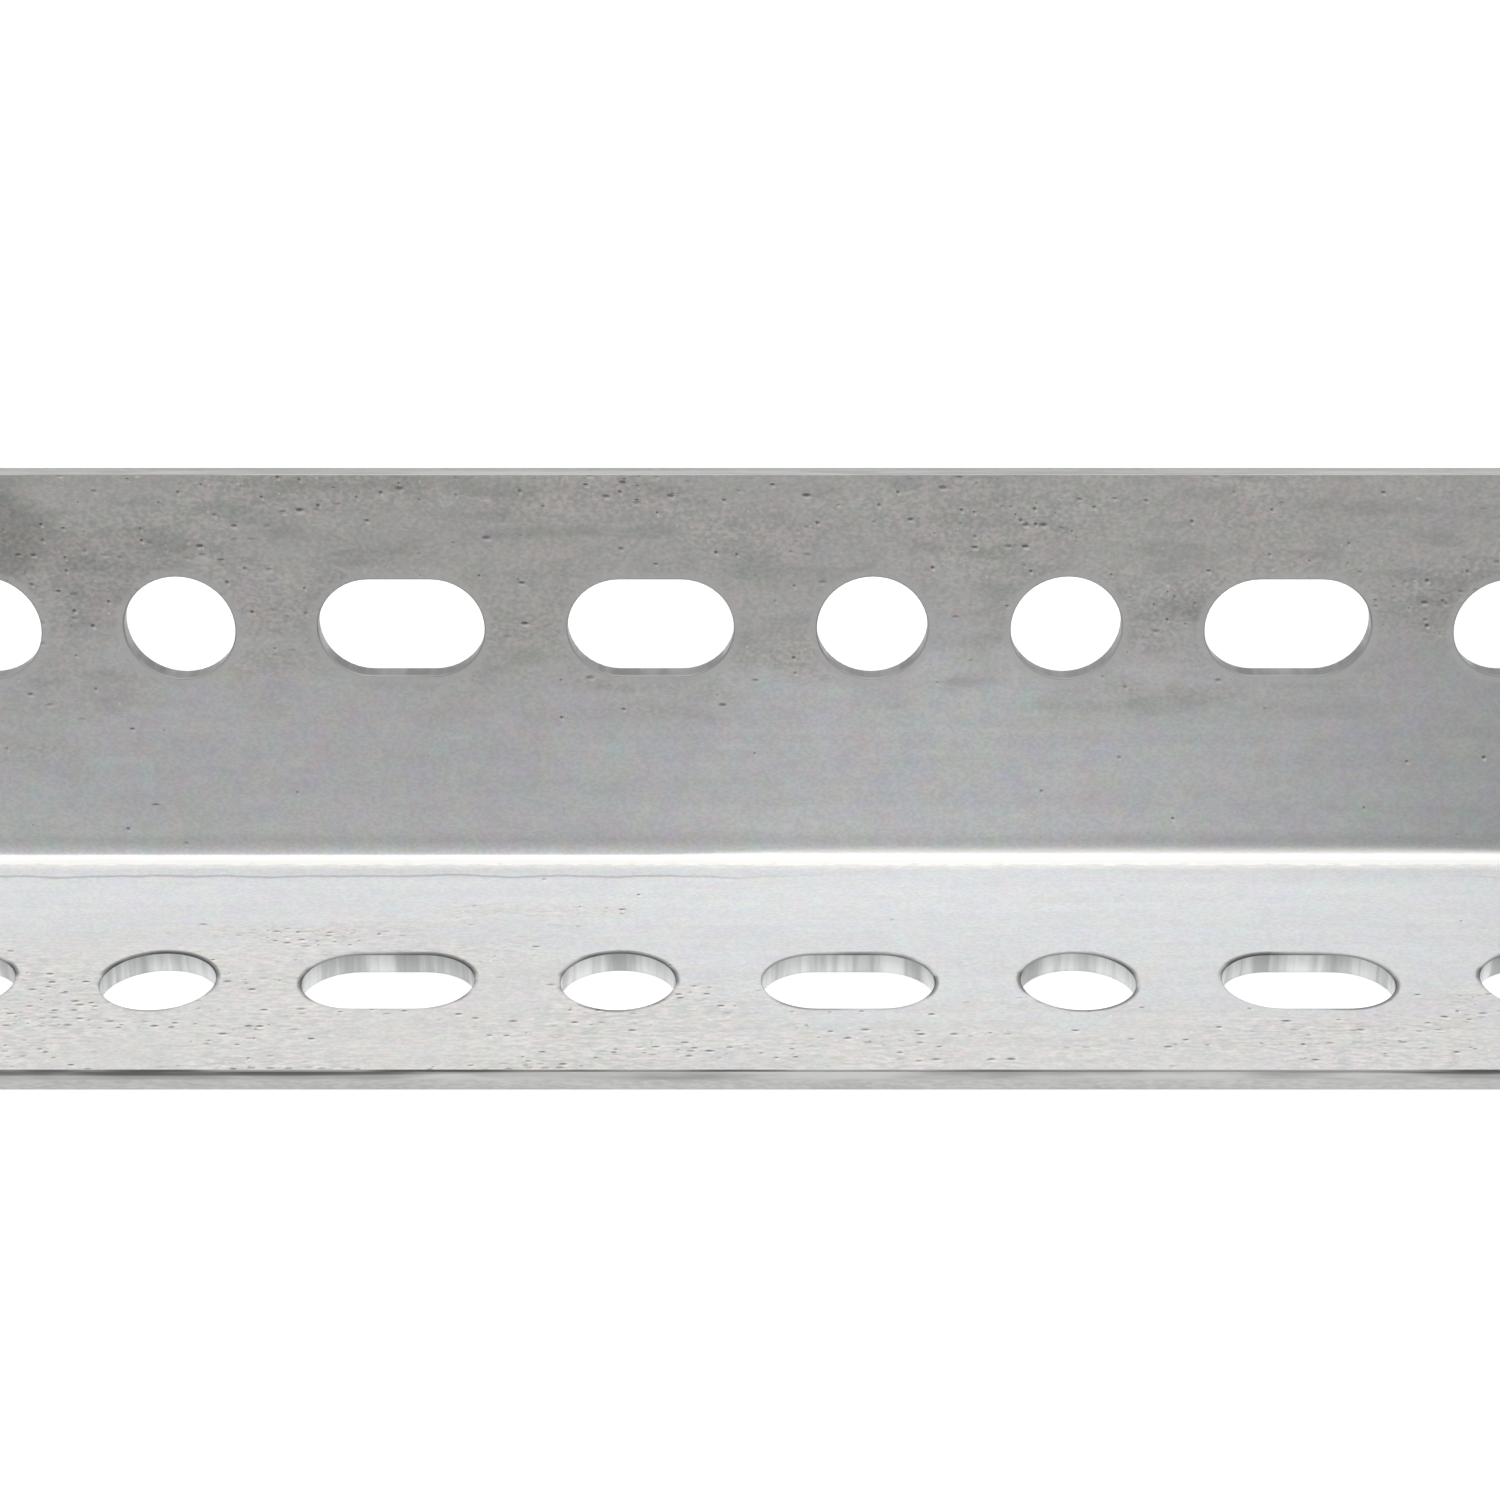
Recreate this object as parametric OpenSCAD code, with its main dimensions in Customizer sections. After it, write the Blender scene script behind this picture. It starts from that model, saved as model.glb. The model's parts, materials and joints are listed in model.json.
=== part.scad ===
// Perforated steel angle
// One strip of sheet steel, punched with a row of holes along each leg and bent to an L.
// X runs along the length. One leg lies flat, and the other stands up along its back edge.
// The origin is on the surface that the angle lies on, under the middle of its box.
// Sizes are in millimetres.

/* [Angle] */
// Length of the piece of stock
stock_length = 914.4; // [152.4:76.2:1828.8]
// Outside width of each leg, from the heel to the toe
leg = 38.1; // [32:0.1:60]
// Thickness of the sheet
sheet = 1.9; // [1.2:0.1:3.2]
// Radius on the inside of the bend
bend_radius = 1.6; // [0.4:0.1:4]

/* [Holes] */
// Distance from the heel to the middle of each row of holes
row_from_heel = 24; // [12:0.1:32]
// Diameter of the round holes
hole_d = 9.525; // [6:0.025:14]
// Length of the slots, from end to end
slot_length = 14.2875; // [11:0.0125:24]
// Width of the slots
slot_width = 9; // [5:0.1:10.5]
// Steel left between each hole and the next
web = 7.14375; // [3:0.00625:16]

/* [Hidden] */
// Holes that one stroke of the punch makes in each leg
lying_row = ["round", "slot", "round", "slot"];
standing_row = ["round", "slot", "slot", "round"];

// Radius on the outside of the bend
bend_outside = bend_radius + sheet;
// How far a punch goes beyond each face of the sheet
punch_over = 1;
// Sides of a full circle
$fn = 96;

// Room that a hole takes up along its row
function hole_span(kind) = kind == "slot" ? slot_length : hole_d;

// Distance from the start of a stroke to the near side of a hole, with half a web before the first
function hole_start(row, i) =
    i == 0 ? web / 2 : hole_start(row, i - 1) + hole_span(row[i - 1]) + web;

// Distance from the start of a stroke to the middle of a hole
function hole_middle(row, i) = hole_start(row, i) + hole_span(row[i]) / 2;

// Length of one stroke, half a web at both ends included
function stroke_length(row) = hole_start(row, len(row)) - web / 2;

// Whole strokes that fit on the piece
function stroke_count(row) = floor(stock_length / stroke_length(row));

// One punch through the lying leg, with its middle over the origin
module punch(kind) {
    punch_height = sheet + 2 * punch_over;
    slot_straight = slot_length - slot_width;
    translate([0, 0, -punch_over]) {
        if (kind == "slot") {
            for (side = [-1, 1]) {
                translate([side * slot_straight / 2, 0, 0]) cylinder(d = slot_width, h = punch_height);
            }
            translate([-slot_straight / 2, -slot_width / 2, 0])
                cube([slot_straight, slot_width, punch_height]);
        } else {
            cylinder(d = hole_d, h = punch_height);
        }
    }
}

// All the punches of one row through the lying leg, in whole strokes about the middle of the length
module punch_row(row) {
    first_stroke = -stroke_count(row) * stroke_length(row) / 2;
    for (stroke = [0 : stroke_count(row) - 1], i = [0 : len(row) - 1]) {
        hole_x = first_stroke + stroke * stroke_length(row) + hole_middle(row, i);
        translate([hole_x, -row_from_heel, 0]) punch(row[i]);
    }
}

// A square with its corner at the heel rounded. The heel is at the origin, and the square reaches to -X and +Y.
module heel_square(side, radius) {
    mirror([1, 0]) difference() {
        square(side);
        difference() {
            square(radius);
            translate([radius, radius]) circle(radius);
        }
    }
}

// The section of the bent sheet: its outside, less its inside, which runs on past both toes
module section() {
    difference() {
        heel_square(leg, bend_outside);
        translate([-sheet, sheet]) heel_square(leg, bend_radius);
    }
}

module perforated_angle() {
    color("silver") translate([0, leg / 2, 0]) difference() {
        translate([-stock_length / 2, 0, 0])
            rotate([90, 0, 90])
                linear_extrude(stock_length) section();
        punch_row(lying_row);
        translate([0, -sheet, 0]) rotate([-90, 0, 0]) punch_row(standing_row);
    }
}

perforated_angle();
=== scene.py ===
"""Perforated steel angle: zinc-plated sheet, punched along both legs and bent to an L, on a white floor."""
import json
import math

import bmesh
import bpy
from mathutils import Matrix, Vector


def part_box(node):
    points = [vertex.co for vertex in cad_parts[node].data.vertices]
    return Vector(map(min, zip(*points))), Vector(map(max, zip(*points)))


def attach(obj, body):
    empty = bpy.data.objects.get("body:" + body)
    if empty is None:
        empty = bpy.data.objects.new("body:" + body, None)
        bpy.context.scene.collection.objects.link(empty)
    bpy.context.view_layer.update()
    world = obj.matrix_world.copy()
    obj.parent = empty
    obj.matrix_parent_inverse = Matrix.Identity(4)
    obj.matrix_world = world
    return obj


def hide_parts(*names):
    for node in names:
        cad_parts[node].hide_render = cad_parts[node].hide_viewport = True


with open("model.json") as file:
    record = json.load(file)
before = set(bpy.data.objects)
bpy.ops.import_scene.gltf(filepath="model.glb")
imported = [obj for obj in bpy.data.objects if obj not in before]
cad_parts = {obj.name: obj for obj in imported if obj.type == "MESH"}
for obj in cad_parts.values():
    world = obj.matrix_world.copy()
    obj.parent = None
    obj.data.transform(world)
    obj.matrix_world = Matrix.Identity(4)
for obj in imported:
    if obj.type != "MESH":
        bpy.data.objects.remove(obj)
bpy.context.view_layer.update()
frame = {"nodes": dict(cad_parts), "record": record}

NODE = "perforated_angle"
SKIN = "perforated_angle_skin"
MM = 0.001

# Sizes that the frame gives
mounts = {mount["name"]: mount for mount in frame["record"]["mounts"]}
rounds = mounts["standing_rounds_left"]
slots = mounts["standing_slots_middle"]
low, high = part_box(NODE)
LEG = high.z - low.z
HEEL_Y = high.y
ROUND_R = rounds["dims"]["hole_r_mm"] * MM
SLOT_R = slots["dims"]["hole_r_mm"] * MM
SLOT_LENGTH = slots["dims"]["slot_length_mm"] * MM
WEB = rounds["dims"]["spacing_x_mm"] * MM - 2 * ROUND_R
ROW = rounds["pos_m"][2]

# The sheet is as thick as the lying leg is high at its toe
TOE_REACH = 0.1 * MM
solid_corners = [vertex.co for vertex in frame["nodes"][NODE].data.vertices]
SHEET = max(corner.z for corner in solid_corners if corner.y < low.y + TOE_REACH)

# Sizes that the frame doesn't give
BEND_RADIUS = 1.6 * MM
BEND_OUTSIDE = BEND_RADIUS + SHEET
# The punch draws the rim of a hole down, shaves the wall smooth, and breaks it out a little wider below
ROLL_WIDTH = 0.08 * MM
ROLL_DEPTH = 0.16 * MM
SHAVED_DEPTH = 0.85 * MM
BREAKOUT = 0.08 * MM
BURR_CHAMFER = 0.1 * MM
# Width of the dark line on the face round each hole, and of the ring over which it fades into the face
RIM_LINE = 0.04 * MM
RIM_FADE = 0.8 * MM
END_CHAMFER = 0.15 * MM
# Half the height of the patch of mesh round each hole
CELL_HALF = 9.0 * MM

# Holes of one stroke of the punch, in order along each leg
ROWS = {
    "lying": ("round", "slot", "round", "slot"),
    "standing": ("round", "slot", "slot", "round"),
}

# Divisions of the mesh
SIDE_STEPS = 12
SLOT_STRAIGHT_STEPS = 2
ROLL_STEPS = 4
BEND_STEPS = 14
HEEL_STEPS = 3
TOE_STEPS = 2
# Corners nearer than this are one corner, and edges that turn by more than this angle are sharp
WELD = 0.0005 * MM
SHARP_ANGLE = math.radians(35)

# Finishes, in the order of the mesh's materials
FACE, RIM, WALL, EDGE = range(4)
# The mesh's measure of nearness to a hole: 1 at its rim, 0 where the ring round it ends
NEAR_RIM = "near_rim"


class Shell:
    """Gathers faces by their corner points, and joins corners that fall together."""

    def __init__(self):
        self.points = []
        self.index = {}
        self.faces = []
        self.finishes = []
        self.rim_corners = set()

    def corner(self, point):
        key = tuple(round(c / WELD) for c in point)
        if key not in self.index:
            self.index[key] = len(self.points)
            self.points.append(point)
        return self.index[key]

    def face(self, points, finish):
        corners = []
        for point in points:
            corner = self.corner(point)
            if corner not in corners:
                corners.append(corner)
        if len(corners) > 2:
            self.faces.append(corners)
            self.finishes.append(finish)

    def strip(self, first, second, finish):
        """A row of four-sided faces between two lines of as many points."""
        for i in range(len(first) - 1):
            self.face((first[i], first[i + 1], second[i + 1], second[i]), finish)

    def strips(self, lines, finish):
        for line, after in zip(lines, lines[1:]):
            self.strip(line, after, finish)

    def mark_rim(self, points):
        self.rim_corners.update(self.corner(point) for point in points)


def spread(start, end, steps):
    return [start + (end - start) * i / steps for i in range(steps + 1)]


def clamp(value, least, most):
    return max(least, min(value, most))


def leg_point(leg, x, s, d):
    """A point of a leg, s from the heel along the leg and d from the inside face into the sheet."""
    if leg == "lying":
        return (x, HEEL_Y - s, SHEET - d)
    return (x, HEEL_Y - SHEET + d, s)


def bend_point(x, turn, d):
    """A point of the bend: turn is 0 where the standing leg begins and 1 where the lying one does."""
    angle = turn * math.pi / 2
    radius = BEND_RADIUS + d
    return (x, HEEL_Y - BEND_OUTSIDE + radius * math.cos(angle), BEND_OUTSIDE - radius * math.sin(angle))


def off_end(x):
    """The place of a column of the faces, which stop short of the cut ends."""
    return clamp(x, low.x + END_CHAMFER, high.x - END_CHAMFER)


def hole_radius(kind):
    return SLOT_R if kind == "slot" else ROUND_R


def hole_span(kind):
    return SLOT_LENGTH if kind == "slot" else 2 * ROUND_R


def cells(leg):
    """The kind, start and end of each hole's share of the length."""
    found = []
    x = low.x
    while x < high.x - WEB:
        for kind in ROWS[leg]:
            end = x + hole_span(kind) + WEB
            found.append((kind, x, end))
            x = end
    return found


def outline(kind, grow):
    """Points round a hole that is wider by grow all round, from its lower right diagonal anticlockwise."""
    radius = hole_radius(kind) + grow
    straight = hole_span(kind) / 2 - hole_radius(kind)
    eighth = math.pi / 4

    def arc(middle, start, end, steps):
        return [(middle + radius * math.cos(a), radius * math.sin(a)) for a in spread(start, end, steps)]

    if kind == "round":
        return arc(0, -eighth, 7 * eighth, 4 * SIDE_STEPS)
    arc_steps = (SIDE_STEPS - SLOT_STRAIGHT_STEPS) // 2
    points = []
    for side, turn in ((1, 0), (-1, math.pi)):
        middle = side * straight
        points += arc(middle, turn - eighth, turn + eighth, SIDE_STEPS)[:-1]
        points += arc(middle, turn + eighth, turn + 2 * eighth, arc_steps)
        points += [(x, side * radius) for x in spread(middle, -middle, SLOT_STRAIGHT_STEPS)[1:-1]]
        points += arc(-middle, turn + 2 * eighth, turn + 3 * eighth, arc_steps)[:-1]
    return points + points[:1]


def cell_border(half):
    """Points round the border of a hole's cell, matched to the points of its outline."""
    border = [(half, s) for s in spread(-CELL_HALF, CELL_HALF, SIDE_STEPS)[:-1]]
    border += [(x, CELL_HALF) for x in spread(half, -half, SIDE_STEPS)[:-1]]
    border += [(-half, s) for s in spread(CELL_HALF, -CELL_HALF, SIDE_STEPS)[:-1]]
    border += [(x, -CELL_HALF) for x in spread(-half, half, SIDE_STEPS)]
    return border


def rolled_rim():
    """How far back from the cut and how deep each line of a rolled rim lies."""
    turns = spread(0, math.pi / 2, ROLL_STEPS)
    return [(ROLL_WIDTH * (1 - math.sin(a)), ROLL_DEPTH * (1 - math.cos(a))) for a in turns]


def cut_profile():
    """A punched or slit edge, as (distance back from its foremost line, depth) from inside to outside."""
    broken = [(0, SHAVED_DEPTH), (BREAKOUT, SHEET - BURR_CHAMFER), (BREAKOUT + BURR_CHAMFER, SHEET)]
    return rolled_rim() + broken


def add_cut(shell, lines, finish):
    """The strips of a cut profile: first its rolled rim, then the cut itself."""
    shell.strips(lines[:ROLL_STEPS + 1], RIM)
    shell.strips(lines[ROLL_STEPS:], finish)


def add_hole(shell, leg, kind, start, end):
    """One hole with its rolled rim and punched wall, and the sheet round it as far as its cell reaches."""
    middle = (start + end) / 2
    border = cell_border((end - start) / 2)

    def place(points, d):
        return [leg_point(leg, off_end(middle + x), ROW + s, d) for x, s in points]

    line = place(outline(kind, ROLL_WIDTH + RIM_LINE), 0)
    fade = place(outline(kind, ROLL_WIDTH + RIM_LINE + RIM_FADE), 0)
    rings = [place(outline(kind, back), d) for back, d in cut_profile()]
    shell.strips([place(border, 0), fade, line], FACE)
    shell.mark_rim(line)
    shell.strip(line, rings[0], RIM)
    add_cut(shell, rings, WALL)
    shell.strip(rings[-1], place(border, SHEET), FACE)


def columns(leg):
    """Where the mesh's columns cross the leg beside its holes."""
    xs = []
    for _, start, end in cells(leg):
        xs += spread(start, end, SIDE_STEPS)[:-1]
    return [off_end(x) for x in xs + [high.x]]


def even_columns():
    """Where as many columns cross the bend, which both legs share."""
    return spread(low.x + END_CHAMFER, high.x - END_CHAMFER, len(columns("lying")) - 1)


def heel_lines(leg, d):
    """Lines along a leg's face at depth d, from beside its holes to the bend."""
    lines = []
    for share in spread(0, 1, HEEL_STEPS):
        s = ROW - CELL_HALF + (BEND_OUTSIDE - ROW + CELL_HALF) * share
        xs = [a + (b - a) * share for a, b in zip(columns(leg), even_columns())]
        lines.append([leg_point(leg, x, s, d) for x in xs])
    return lines


def add_leg(shell, leg):
    for kind, start, end in cells(leg):
        add_hole(shell, leg, kind, start, end)
    xs = columns(leg)
    profile = cut_profile()
    for back, d in (profile[0], profile[-1]):
        shell.strips(heel_lines(leg, d), FACE)
        rows = spread(ROW + CELL_HALF, LEG - back, TOE_STEPS)
        shell.strips([[leg_point(leg, x, s, d) for x in xs] for s in rows], FACE)
    add_cut(shell, [[leg_point(leg, x, LEG - back, d) for x in xs] for back, d in profile], EDGE)


def add_bend(shell):
    for d in (0, SHEET):
        lines = [[bend_point(x, turn, d) for x in even_columns()] for turn in spread(0, 1, BEND_STEPS)]
        shell.strips(lines, FACE)


def end_lines(leg, x, inset):
    """The inside line, the toe and the outside line of a leg's section at x, drawn in by the inset."""
    rows = spread(BEND_OUTSIDE, ROW - CELL_HALF, HEEL_STEPS)
    rows += spread(ROW - CELL_HALF, ROW + CELL_HALF, SIDE_STEPS)[1:]
    profile = cut_profile()

    def place(s, d):
        return leg_point(leg, x, min(s, LEG - inset), clamp(d, inset, SHEET - inset))

    inside = [place(s, 0) for s in rows + spread(rows[-1], LEG - profile[0][0], TOE_STEPS)[1:]]
    outside = [place(s, SHEET) for s in rows + spread(rows[-1], LEG - profile[-1][0], TOE_STEPS)[1:]]
    toe = [place(LEG - back, d) for back, d in profile]
    return inside, toe, outside


def bend_lines(x, inset):
    """The inside and the outside line of the bend's section at x, drawn in by the inset."""
    turns = spread(0, 1, BEND_STEPS)
    return [[bend_point(x, turn, d) for turn in turns] for d in (inset, SHEET - inset)]


def add_end(shell, x):
    """The cut end of the stock at x, with its edges broken."""
    edge_x = off_end(x)
    for leg in ROWS:
        face_lines = end_lines(leg, edge_x, 0)
        cut_lines = end_lines(leg, x, END_CHAMFER)
        for line, after in zip(face_lines, cut_lines):
            shell.strip(line, after, EDGE)
        inside, toe, outside = cut_lines
        shell.strip(inside, outside, EDGE)
        shell.face(toe, EDGE)
    face_bend = bend_lines(edge_x, 0)
    cut_bend = bend_lines(x, END_CHAMFER)
    for line, after in zip(face_bend, cut_bend):
        shell.strip(line, after, EDGE)
    shell.strip(cut_bend[0], cut_bend[1], EDGE)


def make_shell():
    shell = Shell()
    for leg in ROWS:
        add_leg(shell, leg)
    add_bend(shell)
    for x in (low.x, high.x):
        add_end(shell, x)
    return shell


def make_mesh(shell):
    mesh = bpy.data.meshes.new(SKIN)
    mesh.from_pydata(shell.points, [], shell.faces)
    mesh.polygons.foreach_set("material_index", shell.finishes)
    near_rim = mesh.attributes.new(NEAR_RIM, "FLOAT", "POINT")
    near_rim.data.foreach_set("value", [float(i in shell.rim_corners) for i in range(len(shell.points))])
    work = bmesh.new()
    work.from_mesh(mesh)
    bmesh.ops.recalc_face_normals(work, faces=work.faces)
    work.to_mesh(mesh)
    work.free()
    mesh.shade_smooth()
    mesh.set_sharp_from_angle(angle=SHARP_ANGLE)
    return mesh


def make_angle():
    angle = bpy.data.objects.new(SKIN, make_mesh(make_shell()))
    bpy.context.collection.objects.link(angle)
    weights = angle.modifiers.new("weighted_normals", "WEIGHTED_NORMAL")
    weights.keep_sharp = True
    return angle


# Sockets of a Mix node that mixes colours
MIX_FACTOR, MIX_FIRST, MIX_SECOND, MIX_RESULT = 0, 6, 7, 2


class Nodes:
    """Shorthand for building a material's node tree."""

    def __init__(self, name):
        self.material = bpy.data.materials.new(name)
        self.material.use_nodes = True
        self.tree = self.material.node_tree
        self.shader = self.tree.nodes["Principled BSDF"]

    def add(self, kind, **settings):
        node = self.tree.nodes.new(kind)
        for key, value in settings.items():
            setattr(node, key, value)
        return node

    def link(self, source, target):
        """Leads a socket to another one, or sets the other one to a plain value."""
        if hasattr(source, "is_output"):
            self.tree.links.new(source, target)
        else:
            target.default_value = source

    def shade(self, inputs):
        for name, value in inputs.items():
            self.link(value, self.shader.inputs[name])

    def math(self, operation, *values):
        node = self.add("ShaderNodeMath", operation=operation)
        for value, socket in zip(values, node.inputs):
            self.link(value, socket)
        return node.outputs[0]

    def product(self, first, *others):
        for other in others:
            first = self.math("MULTIPLY", first, other)
        return first

    def gap(self, first, second):
        """How far apart two values are."""
        return self.math("ABSOLUTE", self.math("SUBTRACT", first, second))

    def sway(self, noise, span, value):
        """The value, swayed by the noise within a span of which it is the middle."""
        return self.math("MULTIPLY_ADD", self.math("SUBTRACT", noise, 0.5), span, value)

    def ramp(self, value, start, end, first=0.0, last=1.0):
        """First where the value is below start, last where it is above end, and a smooth step between."""
        node = self.add("ShaderNodeMapRange", interpolation_type="SMOOTHSTEP")
        inputs = {"Value": value, "From Min": start, "From Max": end, "To Min": first, "To Max": last}
        for name, source in inputs.items():
            self.link(source, node.inputs[name])
        return node.outputs["Result"]

    def fade(self, value, start, end):
        """1 where the value is below start, 0 where it is above end, and a smooth step between."""
        return self.ramp(value, start, end, 1.0, 0.0)

    def ease(self, share, first, last):
        """First where the share is 0, last where it is 1, and a smooth step between."""
        return self.ramp(share, 0.0, 1.0, first, last)

    def mix(self, factor, first, second, blend="MIX"):
        node = self.add("ShaderNodeMix", data_type="RGBA", blend_type=blend)
        self.link(factor, node.inputs[MIX_FACTOR])
        self.link(first, node.inputs[MIX_FIRST])
        self.link(second, node.inputs[MIX_SECOND])
        return node.outputs[MIX_RESULT]

    def tone(self, colour, by):
        """The colour, times a number or another colour."""
        return self.mix(1.0, colour, by, "MULTIPLY")

    def vector(self, *parts):
        node = self.add("ShaderNodeCombineXYZ")
        for part, socket in zip(parts, node.inputs):
            self.link(part, socket)
        return node.outputs[0]


SHEET_MM = SHEET / MM
# Half the width of the seam between the legs, over which what belongs to one leg gives way to the other's
SEAM_HALF = 0.5
# Values between which a noise mostly lies
NOISE_SPAN = (0.3, 0.7)
NOISE_ROUGHNESS = 0.5
# Spots keep at least this share of their full strength, and fade out from this share of their radius
SPOT_LEAST = 0.3
SPOT_CORE = 0.3


class SheetNodes(Nodes):
    """Nodes for a finish of the bent sheet, which know each place on it. Lengths are in millimetres."""

    def __init__(self, name):
        super().__init__(name)
        coordinates = self.add("ShaderNodeTexCoord")
        axes = self.add("ShaderNodeSeparateXYZ")
        self.link(coordinates.outputs["Object"], axes.inputs[0])
        # Along the sheet, out from the heel's back, and up from the heel's underside
        self.x = self.math("DIVIDE", axes.outputs["X"], MM)
        self.out = self.math("DIVIDE", self.math("SUBTRACT", HEEL_Y, axes.outputs["Y"]), MM)
        self.up = self.math("DIVIDE", axes.outputs["Z"], MM)
        self.place = (self.x, self.out, self.up)
        # Along a leg from the heel, and through the sheet from its outside face
        self.reach = self.math("MAXIMUM", self.out, self.up)
        self.depth = self.math("MINIMUM", self.out, self.up)
        # 1 on one leg and 0 on the other
        self.lying = self.ramp(self.math("SUBTRACT", self.out, self.up), -SEAM_HALF, SEAM_HALF)
        self.standing = self.math("SUBTRACT", 1.0, self.lying)

    def by_leg(self, standing, lying):
        return self.ease(self.lying, standing, lying)

    def noise_node(self, place, along, across, detail, roughness=NOISE_ROUGHNESS):
        """Noise with so many waves to the millimetre along the sheet and across it."""
        node = self.add("ShaderNodeTexNoise")
        scaled = [self.math("MULTIPLY", part, waves) for part, waves in zip(place, (along, across, across))]
        self.link(self.vector(*scaled), node.inputs["Vector"])
        node.inputs["Scale"].default_value = 1.0
        node.inputs["Detail"].default_value = detail
        node.inputs["Roughness"].default_value = roughness
        return node

    def noise(self, along, across, detail):
        return self.noise_node(self.place, along, across, detail).outputs["Fac"]

    def noise_along(self, shift, waves, detail):
        """Noise that changes along the sheet only, and is shifted along it."""
        place = (self.math("ADD", self.x, shift), 0.0, 0.0)
        return self.noise_node(place, waves, 1.0, detail).outputs["Fac"]

    def noise_through(self, waves, detail, drawn):
        """Noise that is drawn out through the sheet, where it has only this share of its waves."""
        place = (self.x, self.reach, self.math("MULTIPLY", self.depth, drawn))
        return self.noise_node(place, waves, waves, detail).outputs["Fac"]

    def hues(self, waves, detail, roughness):
        """A colour that drifts about white, in waves of many sizes."""
        colour = self.noise_node(self.place, waves, waves, detail, roughness).outputs["Color"]
        doubled = self.add("ShaderNodeVectorMath", operation="ADD")
        for socket in doubled.inputs[:2]:
            self.link(colour, socket)
        return doubled.outputs["Vector"]

    def spots(self, place, presence, spacing, stretch, radius, shift):
        """Scattered spots: 1 in a spot's middle. Presence is the share of the places that hold one."""
        x, out, up = place
        across = self.math("DIVIDE", self.math("SUBTRACT", up, out), spacing)
        along = self.math("DIVIDE", self.math("ADD", x, shift), spacing * stretch)
        cell = self.add("ShaderNodeTexVoronoi", voronoi_dimensions="2D")
        self.link(self.vector(along, across), cell.inputs["Vector"])
        cell.inputs["Scale"].default_value = 1.0
        chances = self.add("ShaderNodeSeparateColor")
        self.link(cell.outputs["Color"], chances.inputs[0])
        chance, growth, force = chances.outputs[:3]
        here = self.math("LESS_THAN", chance, presence)
        least_size = radius / spacing / 2
        size = self.math("MULTIPLY_ADD", growth, 2 * least_size, least_size)
        share = self.math("DIVIDE", cell.outputs["Distance"], size)
        return self.product(here, self.ease(force, SPOT_LEAST, 1.0), self.fade(share, SPOT_CORE, 1.0))

    def bump(self, height, depth):
        node = self.add("ShaderNodeBump")
        node.inputs["Distance"].default_value = depth * MM
        self.link(height, node.inputs["Height"])
        return node.outputs["Normal"]


# Colours of the zinc
# The standing leg's clean colour is lighter than its dull one, partly as painted bounce light from the
# lying leg
CLEAN_BOUNCE_LIT_STANDING = (0.692, 0.696, 0.703, 1)
DULL_STANDING = (0.636, 0.627, 0.613, 1)
CLEAN_LYING = (0.67, 0.682, 0.692, 1)
DULL_LYING = (0.68, 0.676, 0.667, 1)
PIT_COLOUR = (0.16, 0.14, 0.125, 1)
# Pale colour of specks, and of the painted highlights beside pits and dashes
SPECK_AND_GLINT_COLOUR = (0.92, 0.91, 0.89, 1)
GREEN_FLECK = (0.85, 0.885, 0.878, 1)
PINK_FLECK = (1.15, 1.085, 1.078, 1)
PATCH_TINT = (0.88, 0.90, 0.895, 1)
PLAIN = (1, 1, 1, 1)
# Near-white colour of the bend's inside: a painted highlight on a burnished band
BURNISH_AND_HIGHLIGHT = (0.97, 0.95, 0.91, 1)
# Colour of the ring round the standing leg's holes: pressed smoother, and lighter as a painted highlight of
# the rolled rim
PRESSED_HIGHLIGHT = (0.68, 0.68, 0.675, 1)

# Noises of the zinc: waves to the millimetre along and across the sheet, and detail
CLOUD = (0.035, 0.07, 1.0)
DRIFT = (0.12, 0.3, 2.0)
STREAKS = (0.04, 0.8, 1.0)
GRAIN = (3.0, 4.5, 0.0)
PATCHES = (0.14, 0.5, 1.0)
MOTTLE = (0.3, 0.5, 1.0)
CLUSTERS = (0.05, 0.1, 1.0)
DASH_ROWS = (0.06, 0.6, 1.0)
# Patches where dirt and painted shade darken the rims
RIM_DIRT_AND_SHADE = (0.07, 0.2, 2.0)
# Noises that change along the sheet only: shift along it, waves to the millimetre, and detail
WEAR = (220.0, 0.01, 1.0)
SHADE = (50.0, 0.014, 0.0)
CREASE_WAVES = (0.0, 0.12, 3.0)
# Sets how deep the toe's dirt and painted shadow reach
TOE_DIRT_AND_SHADE = (240.0, 0.01, 1.0)
# Tint: waves to the millimetre, detail and roughness
HUES = (0.35, 4.0, 0.85)
# Flecks: waves to the millimetre on the standing leg and on the lying one, and detail
FLECKS_ALONG = (2.2, 0.8)
FLECKS_ACROSS = (3.0, 2.6)
FLECKS_DETAIL = 2.0
# Spots: spacing, stretch along the sheet, radius, and shift along it
PITS = (1.4, 1.2, 0.15, 0.0)
DASHES = (0.65, 2.2, 0.17, 37.0)
SPECKS = (3.0, 1.0, 0.14, 71.0)

# Values of the noises between which their marks go from least to most
FLECK_SPAN = (0.34, 0.66)
FLECK_CLUSTERS = (0.4, 0.6)
PATCH_SPAN = (0.5, 0.68)
SMUDGE_SPAN = (0.56, 0.72)
PIT_CLUSTERS = (0.44, 0.62)
DASH_SPAN = (0.5, 0.64)
DASH_CLUSTERS = (0.42, 0.6)
RIM_DIRT_AND_SHADE_SPAN = (0.4, 0.6)
# Values of the wear between which the lying leg turns dull nearer to the heel
WORN_DULL = (0.45, 0.6)
# Values of the wear between which the bend's painted highlight narrows and the crease shows
WORN_SPAN = (0.42, 0.56)
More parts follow.
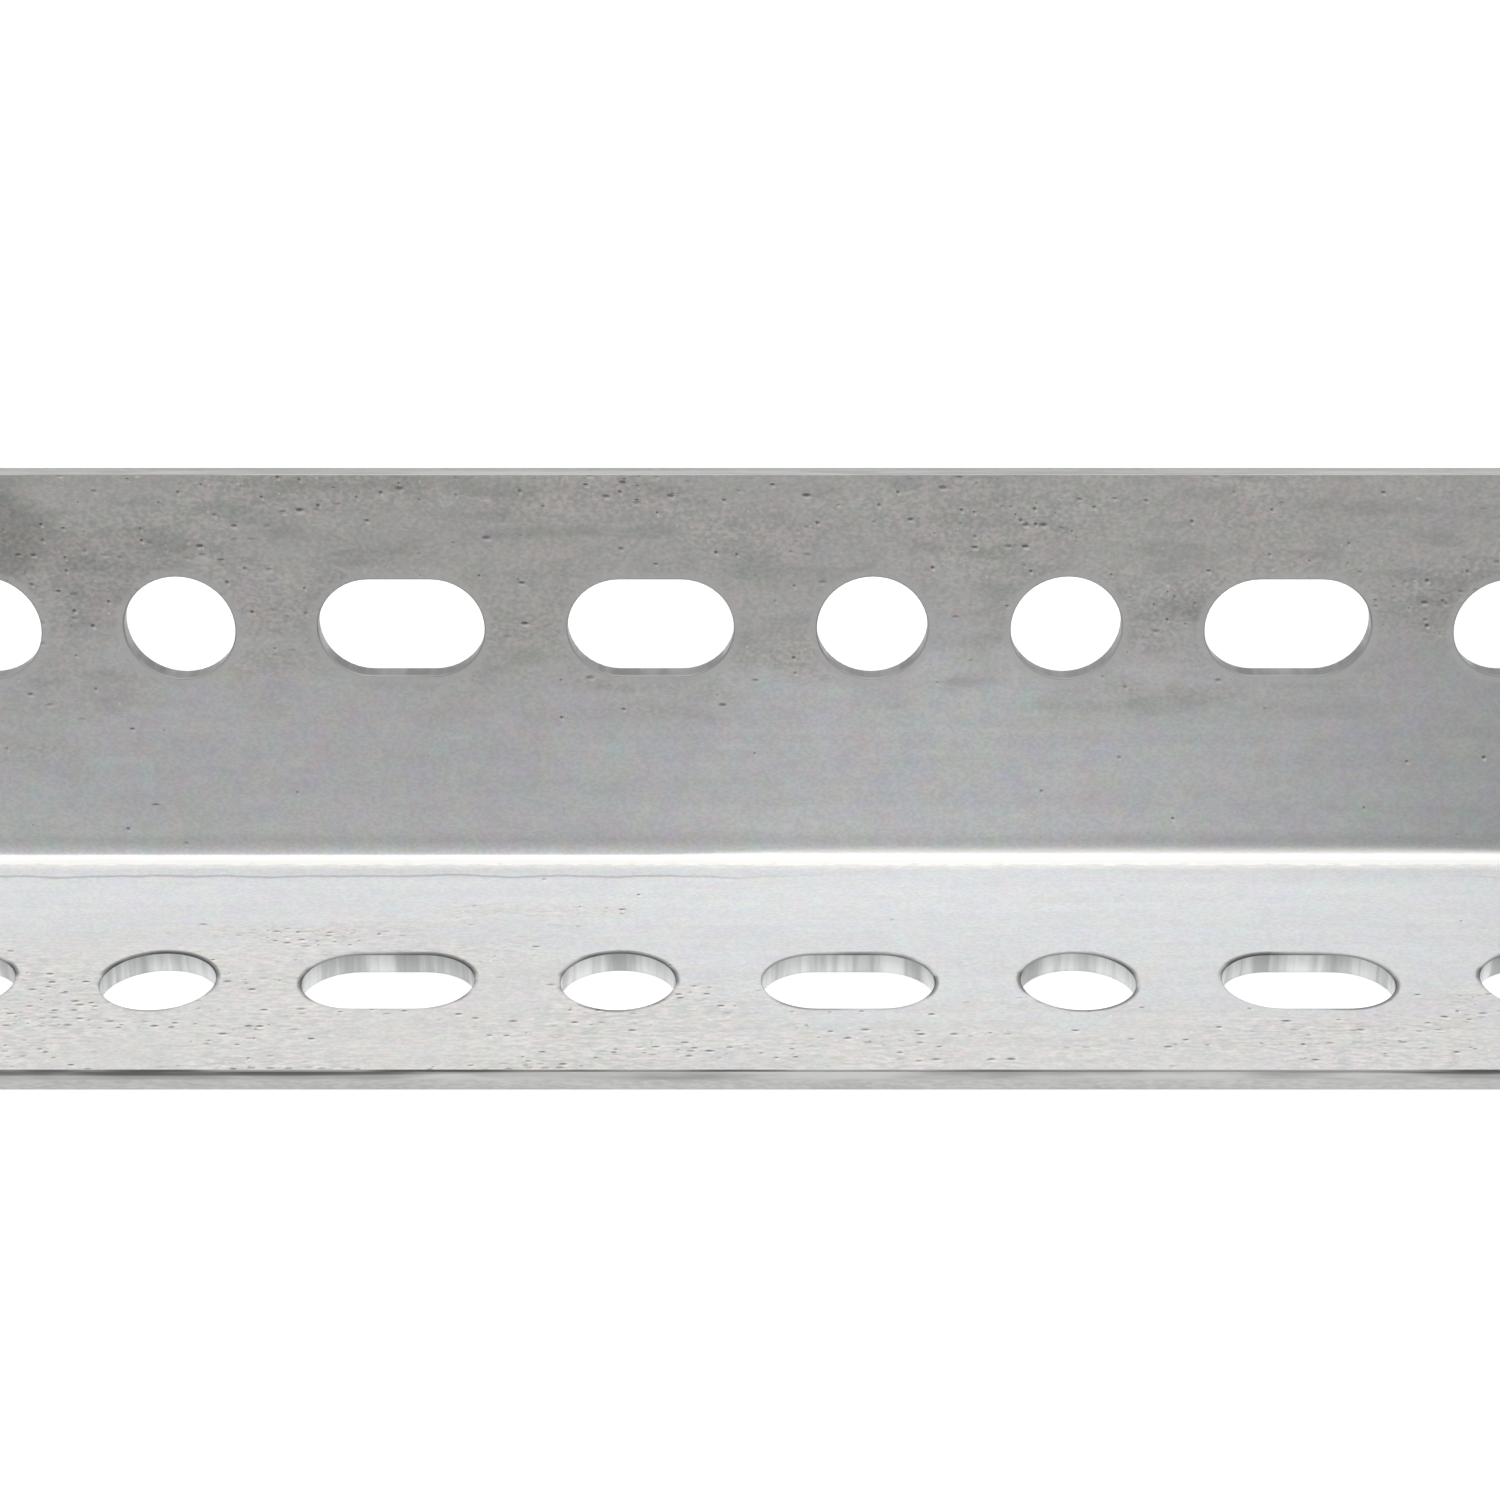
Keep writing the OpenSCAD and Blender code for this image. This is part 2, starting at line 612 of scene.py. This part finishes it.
# Shares of the places that hold a pit or a dash, where they are fewest and where they are most
PIT_PRESENCE = (0.05, 0.42)
DASH_PRESENCE = (0.06, 0.8)
DASH_CLUSTERING = (0.3, 1.0)
SPECK_PRESENCE = 0.35
# Shares of the ring round a hole, from its outer end to the rim, over which dirt with painted shade, and
# pressing with a painted highlight, set in
RIM_DIRT_AND_SHADE_RING = (0.45, 1.0)
PRESS_HIGHLIGHT_RING = (0.0, 0.6)

# Strengths on the standing leg and on the lying one
TINT_CLEAN = (0.17, 0.115)
SHADING_CLEAN = (0.8, 0.15)
FLECKS_LEAST = (0.45, 0.3)
FLECKS_MOST = (0.85, 0.75)
SMUDGING = (1.0, 0.25)
PITTING = (1.0, 0.3)
DASHING = (0.45, 1.0)
# Strengths on either leg
TINT_DULL = 0.095
SHADING_DULL = 0.25
PITTING_CLEAN = 0.15
RIM_DIRT_AND_SHADE_SHARE = (0.15, 1.0)
GLINT_STRENGTH = 0.6
HOLLOW_STRENGTH = 0.85
SPECK_STRENGTH = 0.7
PRESS_HIGHLIGHT_STRENGTH = 0.6
CREASE_STRENGTH = 0.36
# Least and greatest tones of streaks and grain, and least and greatest roughness
STREAK_TONES = (0.98, 1.02)
GRAIN_TONES = (0.96, 1.04)
ROUGHNESS = (0.72, 0.78)
# How metallic the sheet and the bend's painted highlight are, and the highlight's share of the roughness
METALLIC = (0.4, 0.1)
BRIGHT_ROUGHNESS = 0.45
# Tones that smudges, the smear, rims darkened by dirt and painted shade, and the corner above the bend come
# down to
SMUDGE_TONE = 0.90
SMEAR_TONE = 0.72
RIM_DIRT_AND_SHADE_TONE = 0.36
CORNER_TONE = 0.87

# Distances from the heel between which the clean sheet turns dull, and how far two noises sway them
CLEAN_TO = 13.0
DULL_FROM = 25.0
CLOUD_SWAY = 22.0
DRIFT_SWAY = 22.0
# How much nearer to the heel the lying leg turns dull, where it is least and most worn
LYING_NEARER = (-8.0, 3.0)
# A dark smear on the standing leg, left of the middle, and the distances over which it fades out
SMEAR_X = -82.0
SMEAR_UP = 33.0
SMEAR_FADE = (4.0, 11.0)
SMEAR_RAGGED = 6.0
# How far the painted highlight on a pit's bright side lies from its dark side, along and across the sheet
GLINT_ASIDE = 0.14
# The standing leg is a little darker so far above the lying one, and so far above it no more
CORNER_SHADE = (0.8, 3.2)
# What belongs to the inside of the sheet sets in between these distances below its inside face
INSIDE_FROM = 0.2
INSIDE_FULL = 0.1
# The bend's painted highlight is full so far above the lying leg, and gone so far above where least and
# most worn
BRIGHT_UP = 0.2
BRIGHT_TOP = (1.2, 0.5)
# On the lying leg half of it ends so far out, within an edge, and the other half dies away from there
BRIGHT_OUT = 1.65
BRIGHT_EDGE = 0.2
BRIGHT_FADE = 1.3
BRIGHT_FRAY = 1.2
# A faint crease runs so far out from the inside of the standing leg, sways so far, and is so wide
CREASE_OUT = 3.85
CREASE_SWAY = 2.0
CREASE_FADE = (0.03, 0.32)
# Depth of the relief, and the shares of it that grain and streaks take
RELIEF_DEPTH = 0.04
GRAIN_RELIEF = 0.35
STREAK_RELIEF = 0.08


class ZincFace(SheetNodes):
    """The plated faces of the sheet. Each layer takes the colour so far and adds its own marks."""

    def __init__(self):
        super().__init__("zinc_face")
        self.streaks = self.noise(*STREAKS)
        self.grain = self.noise(*GRAIN)
        self.flecks = self.noise(self.by_leg(*FLECKS_ALONG), self.by_leg(*FLECKS_ACROSS), FLECKS_DETAIL)
        self.patches = self.noise(*PATCHES)
        self.cluster = self.noise(*CLUSTERS)
        self.worn = self.noise_along(*WEAR)
        self.inside = self.ramp(self.depth, SHEET_MM - INSIDE_FROM, SHEET_MM - INSIDE_FULL)
        self.dull = self.dullness()

    def dullness(self):
        """0 near the heel, where the sheet is clean and the standing leg is lighter with painted bounce
        light, and 1 further out.
        """
        nearer = self.ramp(self.worn, *WORN_DULL, *LYING_NEARER)
        reach = self.math("MULTIPLY_ADD", self.lying, nearer, self.reach)
        reach = self.sway(self.noise(*CLOUD), CLOUD_SWAY, reach)
        reach = self.sway(self.noise(*DRIFT), DRIFT_SWAY, reach)
        return self.ramp(reach, CLEAN_TO, DULL_FROM)

    def base(self):
        """The bare zinc, with its tint, rolling streaks, grain and slow change of shade."""
        clean = self.mix(self.lying, CLEAN_BOUNCE_LIT_STANDING, CLEAN_LYING)
        colour = self.mix(self.dull, clean, self.mix(self.lying, DULL_STANDING, DULL_LYING))
        tint = self.ease(self.dull, self.by_leg(*TINT_CLEAN), TINT_DULL)
        colour = self.tone(colour, self.mix(tint, PLAIN, self.hues(*HUES)))
        colour = self.tone(colour, self.ramp(self.streaks, *NOISE_SPAN, *STREAK_TONES))
        colour = self.tone(colour, self.ramp(self.grain, *NOISE_SPAN, *GRAIN_TONES))
        shading = self.product(self.by_leg(*SHADING_CLEAN), self.ease(self.dull, 1.0, SHADING_DULL))
        darker = self.math("SUBTRACT", 0.5, self.noise_along(*SHADE))
        return self.tone(colour, self.math("MULTIPLY_ADD", darker, shading, 1.0))

    def flecked(self, colour):
        """Fine green and pink flecks on the dull sheet, strongest where marks cluster."""
        flecks = self.mix(self.ramp(self.flecks, *FLECK_SPAN), GREEN_FLECK, PINK_FLECK)
        least = self.by_leg(*FLECKS_LEAST)
        most = self.by_leg(*FLECKS_MOST)
        strength = self.ramp(self.cluster, *FLECK_CLUSTERS, least, most)
        return self.mix(self.product(self.dull, strength), colour, self.tone(colour, flecks))

    def smudged(self, colour):
        """Greenish patches, darker smudges and one dark smear."""
        strength = self.product(self.dull, self.by_leg(*SMUDGING))
        patch = self.product(self.ramp(self.patches, *PATCH_SPAN), strength)
        colour = self.tone(colour, self.mix(patch, PLAIN, PATCH_TINT))
        smudge = self.product(self.ramp(self.cluster, *SMUDGE_SPAN), strength)
        colour = self.tone(colour, self.ease(smudge, 1.0, SMUDGE_TONE))
        off_smear = self.math("ADD", self.gap(self.x, SMEAR_X), self.gap(self.up, SMEAR_UP))
        smear = self.fade(self.math("MULTIPLY_ADD", self.patches, SMEAR_RAGGED, off_smear), *SMEAR_FADE)
        return self.tone(colour, self.ease(smear, 1.0, SMEAR_TONE))

    def hollows_and_glints(self):
        """Pits and rows of dashes, and the same again a little aside as painted highlights, where their
        bright sides glint.
        """
        pits_here = self.ramp(self.cluster, *PIT_CLUSTERS, *PIT_PRESENCE)
        pitted = self.product(pits_here, self.ease(self.dull, PITTING_CLEAN, 1.0), self.by_leg(*PITTING))
        dashes_here = self.ramp(self.noise(*DASH_ROWS), *DASH_SPAN, *DASH_PRESENCE)
        clustering = self.ramp(self.cluster, *DASH_CLUSTERS, *DASH_CLUSTERING)
        dashed = self.product(dashes_here, clustering, self.product(self.dull, self.by_leg(*DASHING)))
        beside = [self.math("ADD", part, side * GLINT_ASIDE) for part, side in zip(self.place, (-1, -1, 1))]

        def hollows_at(place):
            pits = self.spots(place, pitted, *PITS)
            return self.math("MAXIMUM", pits, self.spots(place, dashed, *DASHES))

        return hollows_at(self.place), hollows_at(beside)

    def marked(self, colour, hollows, glints, specks):
        """Dark hollows with their glints, which are painted highlights, and pale specks."""
        colour = self.mix(self.product(glints, GLINT_STRENGTH), colour, SPECK_AND_GLINT_COLOUR)
        colour = self.mix(self.product(hollows, HOLLOW_STRENGTH), colour, PIT_COLOUR)
        return self.mix(self.product(specks, SPECK_STRENGTH), colour, SPECK_AND_GLINT_COLOUR)

    def rimmed(self, colour):
        """Dirt and painted shade round the lying leg's holes, and a press-smoothed ring with a painted
        highlight round the standing leg's.
        """
        near_rim = self.add("ShaderNodeAttribute", attribute_name=NEAR_RIM).outputs["Fac"]
        rim_patchiness = self.ramp(self.noise(*RIM_DIRT_AND_SHADE), *RIM_DIRT_AND_SHADE_SPAN, *RIM_DIRT_AND_SHADE_SHARE)
        # The face round the lying leg's holes is darkened by dirt and by painted shade of the rolled rim
        rim_dirt_and_shade = self.product(self.ramp(near_rim, *RIM_DIRT_AND_SHADE_RING), rim_patchiness, self.lying)
        colour = self.tone(colour, self.ease(rim_dirt_and_shade, 1.0, RIM_DIRT_AND_SHADE_TONE))
        # A lighter ring round the standing leg's holes: pressed zinc and a painted highlight of the rolled
        # rim
        pressed_highlight = self.product(self.ramp(near_rim, *PRESS_HIGHLIGHT_RING), self.standing)
        return self.mix(self.product(pressed_highlight, PRESS_HIGHLIGHT_STRENGTH), colour, PRESSED_HIGHLIGHT)

    def shaded_corner(self, colour):
        start, end = CORNER_SHADE
        corner = self.product(self.fade(self.up, SHEET_MM + start, SHEET_MM + end), self.standing)
        return self.tone(colour, self.ease(corner, 1.0, CORNER_TONE))

    def painted_bend_highlight(self):
        """1 on the inside of the bend, where a painted highlight whitens a burnished band, and 0 away from
        it.
        """
        top = self.math("ADD", self.ramp(self.worn, *WORN_SPAN, *BRIGHT_TOP), SHEET_MM)
        bright = self.product(self.fade(self.up, SHEET_MM + BRIGHT_UP, top), self.inside)
        frayed = self.sway(self.flecks, BRIGHT_FRAY, self.out)
        end = SHEET_MM + BRIGHT_OUT
        soft_half = self.ramp(frayed, end, end + BRIGHT_FADE, 0.5, 0.0)
        crisp_half = self.ramp(frayed, end - BRIGHT_EDGE, end + BRIGHT_EDGE, 0.5, 0.0)
        return self.product(bright, self.math("ADD", soft_half, crisp_half))

    def creased(self, colour):
        """A faint dark line along the bend, where the sheet is most worn."""
        line = self.sway(self.noise_along(*CREASE_WAVES), CREASE_SWAY, SHEET_MM + CREASE_OUT)
        near_line = self.fade(self.gap(self.out, line), *CREASE_FADE)
        inside_leg = self.product(self.inside, self.lying)
        crease = self.product(near_line, inside_leg, self.ramp(self.worn, *WORN_SPAN))
        return self.mix(self.product(crease, CREASE_STRENGTH), colour, PIT_COLOUR)

    def relief(self, hollows, specks):
        streaks = self.product(self.streaks, STREAK_RELIEF)
        rolled = self.math("MULTIPLY_ADD", self.grain, GRAIN_RELIEF, streaks)
        return self.math("ADD", rolled, self.math("SUBTRACT", specks, hollows))


def zinc_face():
    n = ZincFace()
    hollows, glints = n.hollows_and_glints()
    specks = n.spots(n.place, n.product(n.dull, SPECK_PRESENCE), *SPECKS)
    bright = n.painted_bend_highlight()
    colour = n.smudged(n.flecked(n.base()))
    colour = n.rimmed(n.marked(colour, hollows, glints, specks))
    # The bend's band takes a near-white colour: a painted highlight on burnished zinc
    colour = n.mix(bright, n.shaded_corner(colour), BURNISH_AND_HIGHLIGHT)
    roughness = n.ramp(n.noise(*MOTTLE), *NOISE_SPAN, *ROUGHNESS)
    n.shade({
        "Base Color": n.creased(colour),
        "Metallic": n.ease(bright, *METALLIC),
        "Roughness": n.product(roughness, n.ease(bright, 1.0, BRIGHT_ROUGHNESS)),
        "Normal": n.bump(n.relief(hollows, specks), RELIEF_DEPTH),
    })
    return n.material


# Colours of a rim, where it is lighter and where it is darkest with dirt and painted shade
STANDING_RIM = ((0.48, 0.478, 0.47, 1), (0.38, 0.378, 0.372, 1))
LYING_RIM = ((0.46, 0.46, 0.45, 1), (0.12, 0.12, 0.115, 1))


def dark_rim():
    """The line where the face turns into a cut, darkened by grime and by painted shade of the rolled rim.
    """
    n = SheetNodes("dark_rim")
    rim_dirt_and_shade = n.ramp(n.noise(*RIM_DIRT_AND_SHADE), *RIM_DIRT_AND_SHADE_SPAN)
    n.shade({
        # The rim's dark colour is partly dirt and partly painted shade
        "Base Color": n.mix(n.lying, n.mix(rim_dirt_and_shade, *STANDING_RIM), n.mix(rim_dirt_and_shade, *LYING_RIM)),
        "Metallic": 0.3,
        "Roughness": 0.6,
    })
    return n.material


# Colours of the streaks in a hole's wall, and the darker colour that the standing leg's walls are mixed
# towards
WALL_STREAKS = ((0.46, 0.467, 0.47, 1), (0.85, 0.862, 0.865, 1))
DULL_WALL = (0.36, 0.36, 0.352, 1)
STANDING_WALL_DARKENING = 0.6
# Streaks of a wall: waves to the millimetre, detail, and the share of the waves that runs through the sheet
FINE_STREAKS = (1.5, 2.0, 0.05)
BROAD_STREAKS = (0.35, 1.0, 0.1)
BROAD_SHARE = 0.65
WALL_STREAK_SPAN = (0.36, 0.6)
# Tones of a wall at the outside face and at the inside face
WALL_TONES = (1.1, 0.85)
STREAK_DEPTH = 0.03


def punched_wall():
    """The wall of a hole, streaked by the punch through the sheet's thickness."""
    n = SheetNodes("punched_wall")
    fine = n.noise_through(*FINE_STREAKS)
    broad = n.noise_through(*BROAD_STREAKS)
    streaks = n.math("MULTIPLY_ADD", broad, BROAD_SHARE, n.product(fine, 1 - BROAD_SHARE))
    colour = n.mix(n.ramp(streaks, *WALL_STREAK_SPAN), *WALL_STREAKS)
    colour = n.tone(colour, n.ramp(n.depth, 0.0, SHEET_MM, *WALL_TONES))
    n.shade({
        # The standing leg's walls are mixed towards a darker colour
        "Base Color": n.mix(n.lying, n.mix(STANDING_WALL_DARKENING, colour, DULL_WALL), colour),
        "Metallic": n.by_leg(0.2, 0.6),
        "Roughness": n.ramp(fine, *NOISE_SPAN, 0.32, 0.5),
        "Normal": n.bump(fine, STREAK_DEPTH),
    })
    return n.material


# Noises of the slit edge: waves to the millimetre along and across the sheet, and detail
EDGE_SMUDGES = (0.08, 0.7, 4.0)
EDGE_GRAIN = (1.2, 5.0, 3.0)
EDGE_GRAIN_DEPTH = 0.02
EDGE_SMUDGE_SPAN = (0.35, 0.65)
# Colours of the edge where the blade shaved it and where the sheet broke
SHAVED_EDGE = ((0.46, 0.47, 0.46, 1), (0.70, 0.71, 0.70, 1))
BROKEN_EDGE = ((0.58, 0.58, 0.57, 1), (0.70, 0.70, 0.69, 1))
# Height of the line between the two above the outside face, and half the width over which it is blurred
BREAK_LINE = (SHEET - SHAVED_DEPTH) / MM
BREAK_HALF = 0.15
BREAK = (BREAK_LINE - BREAK_HALF, BREAK_LINE + BREAK_HALF)
# Tones of the standing leg's edge, broken and shaved, and of the lying leg's
STANDING_EDGE_TONES = (0.91, 1.05)
LYING_EDGE_TONE = 1.16
# Dirt and painted shadow of the rolled-over edge darken the upper part of the lying leg's edge, down to
# between these depths
DIRT_AND_SHADE_DEPTHS = (0.17, 0.58)
DIRT_AND_SHADE_DEPTH_SPAN = (0.42, 0.6)
DIRT_AND_SHADE_FADE = (-0.2, 0.1)
TOE_DIRT_AND_SHADE_TONE = 0.3
# Where the edge is smudged most, this share of the dirt and painted shadow is left
DIRT_AND_SHADE_SMUDGE_SPAN = (0.35, 0.6)
DIRT_AND_SHADE_LEFT = 0.6
# The dirt and painted shadow end between these distances from the cut ends
DIRT_AND_SHADE_OFF_END = (0.3, 0.2)


def toe_dirt_and_shade(n, smudges):
    """1 where grime and painted shadow of the rolled-over edge darken the upper part of the lying leg's
    edge.
    """
    dirt_and_shade_depth = n.ramp(n.noise_along(*TOE_DIRT_AND_SHADE), *DIRT_AND_SHADE_DEPTH_SPAN, *DIRT_AND_SHADE_DEPTHS)
    below_dirt_and_shade = n.math("SUBTRACT", n.math("SUBTRACT", SHEET_MM, n.depth), dirt_and_shade_depth)
    dirt_and_shade = n.product(n.fade(below_dirt_and_shade, *DIRT_AND_SHADE_FADE), n.ramp(smudges, *DIRT_AND_SHADE_SMUDGE_SPAN, 1.0, DIRT_AND_SHADE_LEFT))
    half_length = high.x / MM
    start, end = [half_length - distance for distance in DIRT_AND_SHADE_OFF_END]
    return n.product(dirt_and_shade, n.lying, n.fade(n.math("ABSOLUTE", n.x), start, end))


def slit_edge():
    """The slit edges of the sheet and its cut ends: smudged above, and a paler break below."""
    n = SheetNodes("slit_edge")
    smudges = n.noise(*EDGE_SMUDGES)
    grain = n.noise(*EDGE_GRAIN)
    shaved = n.mix(n.ramp(smudges, *EDGE_SMUDGE_SPAN), *SHAVED_EDGE)
    broken = n.mix(n.ramp(grain, *NOISE_SPAN), *BROKEN_EDGE)
    colour = n.mix(n.ramp(n.depth, *BREAK), broken, shaved)
    colour = n.tone(colour, n.by_leg(n.ramp(n.depth, *BREAK, *STANDING_EDGE_TONES), LYING_EDGE_TONE))
    n.shade({
        # Dirt and painted shadow darken the top of the lying leg's edge
        "Base Color": n.tone(colour, n.ease(toe_dirt_and_shade(n, smudges), 1.0, TOE_DIRT_AND_SHADE_TONE)),
        "Metallic": 0.4,
        "Roughness": n.ramp(smudges, *NOISE_SPAN, 0.6, 0.42),
        "Normal": n.bump(grain, EDGE_GRAIN_DEPTH),
    })
    return n.material


angle = make_angle()
for finish in (zinc_face, dark_rim, punched_wall, slit_edge):
    angle.data.materials.append(finish())
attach(angle, "root")
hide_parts(NODE)


# The floor's reach to each side, its colour, and how much it shines where it is seen
FLOOR_REACH = 20.0
FLOOR_BASE = (0.4, 0.4, 0.4, 1)
FLOOR_LIFT = 0.74


def floor_white():
    """White to the camera and in the metal, with the shadow kept."""
    n = Nodes("floor_white")
    path = n.add("ShaderNodeLightPath")
    seen = n.math("MAXIMUM", path.outputs["Is Camera Ray"], path.outputs["Is Glossy Ray"])
    seen = n.math("MAXIMUM", seen, path.outputs["Is Transmission Ray"])
    n.shade({
        "Base Color": FLOOR_BASE,
        "Roughness": 0.9,
        "Specular IOR Level": 0.0,
        "Emission Color": (1, 1, 1, 1),
        "Emission Strength": n.product(seen, FLOOR_LIFT),
    })
    return n.material


def make_floor():
    corners = [(x * FLOOR_REACH, y * FLOOR_REACH, 0) for x, y in ((-1, -1), (1, -1), (1, 1), (-1, 1))]
    mesh = bpy.data.meshes.new("floor")
    mesh.from_pydata(corners, [], [(0, 1, 2, 3)])
    mesh.materials.append(floor_white())
    floor = bpy.data.objects.new("floor", mesh)
    bpy.context.collection.objects.link(floor)


# One softbox over the part, facing down, and a dim world all round
SOFTBOX_PLACE = (0, -0.17, 1.2)
SOFTBOX_SIZE = (1.4, 0.7)
SOFTBOX_WATTS = 18.0
WORLD_COLOUR = (0.15, 0.15, 0.15, 1)


def make_lights():
    world = bpy.data.worlds.new("studio")
    world.use_nodes = True
    world.node_tree.nodes["Background"].inputs["Color"].default_value = WORLD_COLOUR
    bpy.context.scene.world = world
    lamp = bpy.data.lights.new("overhead", "AREA")
    lamp.shape = "RECTANGLE"
    lamp.size, lamp.size_y = SOFTBOX_SIZE
    lamp.energy = SOFTBOX_WATTS
    softbox = bpy.data.objects.new("overhead", lamp)
    softbox.location = SOFTBOX_PLACE
    bpy.context.collection.objects.link(softbox)


# The photo's camera: its place along the part, in front of the standing leg and above the lying one
CAMERA_X = -0.01885
CAMERA_IN_FRONT = 0.2548
CAMERA_ABOVE = 0.1343
CAMERA_DOWN = math.radians(25.92)
CAMERA_SENSOR = 36.0
CAMERA_LENS = 77.7
CAMERA_NEAREST = 0.01


def make_camera():
    data = bpy.data.cameras.new("camera")
    data.sensor_width = CAMERA_SENSOR
    data.lens = CAMERA_LENS
    data.clip_start = CAMERA_NEAREST
    camera = bpy.data.objects.new("camera", data)
    camera.location = (CAMERA_X, HEEL_Y - SHEET - CAMERA_IN_FRONT, SHEET + CAMERA_ABOVE)
    camera.rotation_euler = (math.pi / 2 - CAMERA_DOWN, 0, 0)
    bpy.context.collection.objects.link(camera)
    bpy.context.scene.camera = camera


make_floor()
make_lights()
make_camera()
bpy.context.scene.view_settings.view_transform = "Standard"
